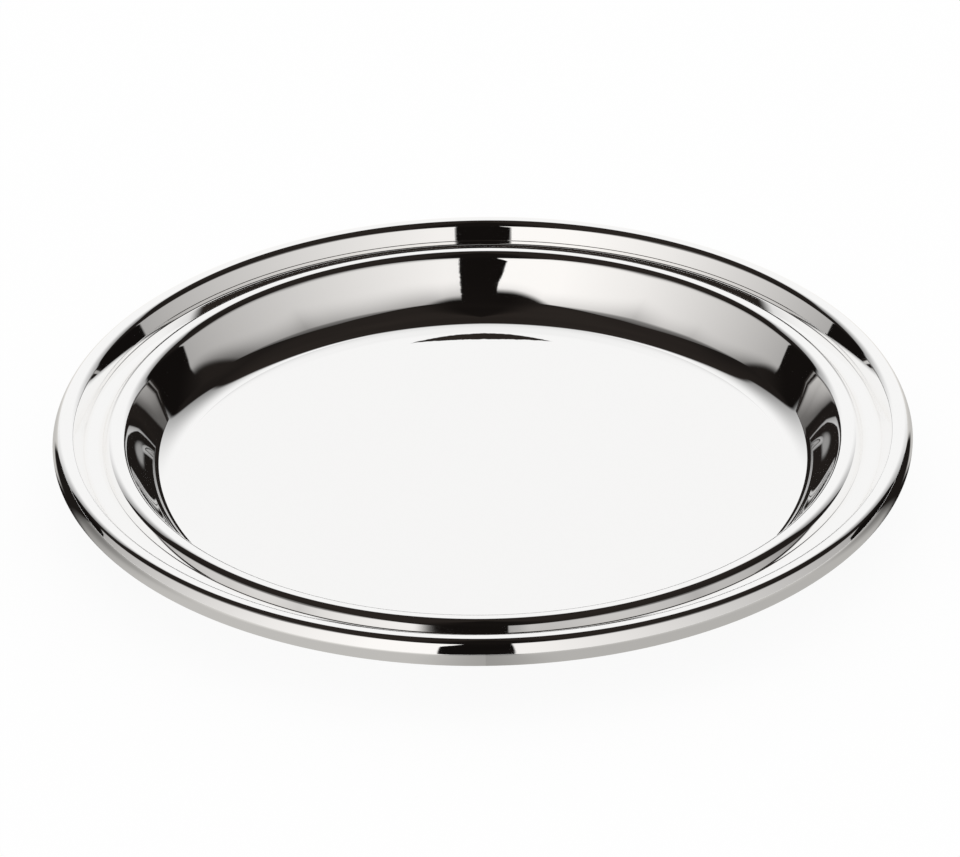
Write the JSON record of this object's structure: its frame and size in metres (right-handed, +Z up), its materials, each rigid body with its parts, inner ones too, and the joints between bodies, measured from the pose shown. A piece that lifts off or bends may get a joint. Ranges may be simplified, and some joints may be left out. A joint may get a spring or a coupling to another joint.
{
  "type": "bottle coaster",
  "caption": "Shallow round mirror-polished metal dish with a flat floor, sloping wall, small inner bead and rolled outer lip, on a baize pad, for standing a bottle on a table.",
  "frame": {"origin": "centre of the baize pad's underside, on the table", "axes": "+Z up along the dish's axis of revolution; X and Y are any two directions across the dish"},
  "size_m": [0.14, 0.14, 0.0139],
  "materials": {
    "silver_plate": "mirror-polished silver plate",
    "brass_wire": "drawn wire, unpolished",
    "adhesive_film": "dried contact adhesive",
    "green_baize": "short-fibre wool felt, die cut"
  },
  "bodies": {
    "root": {"dish": "silver_plate", "rim_wire": "brass_wire", "pad_adhesive": "adhesive_film", "felt_pad": "green_baize"}
  },
  "joints": []
}
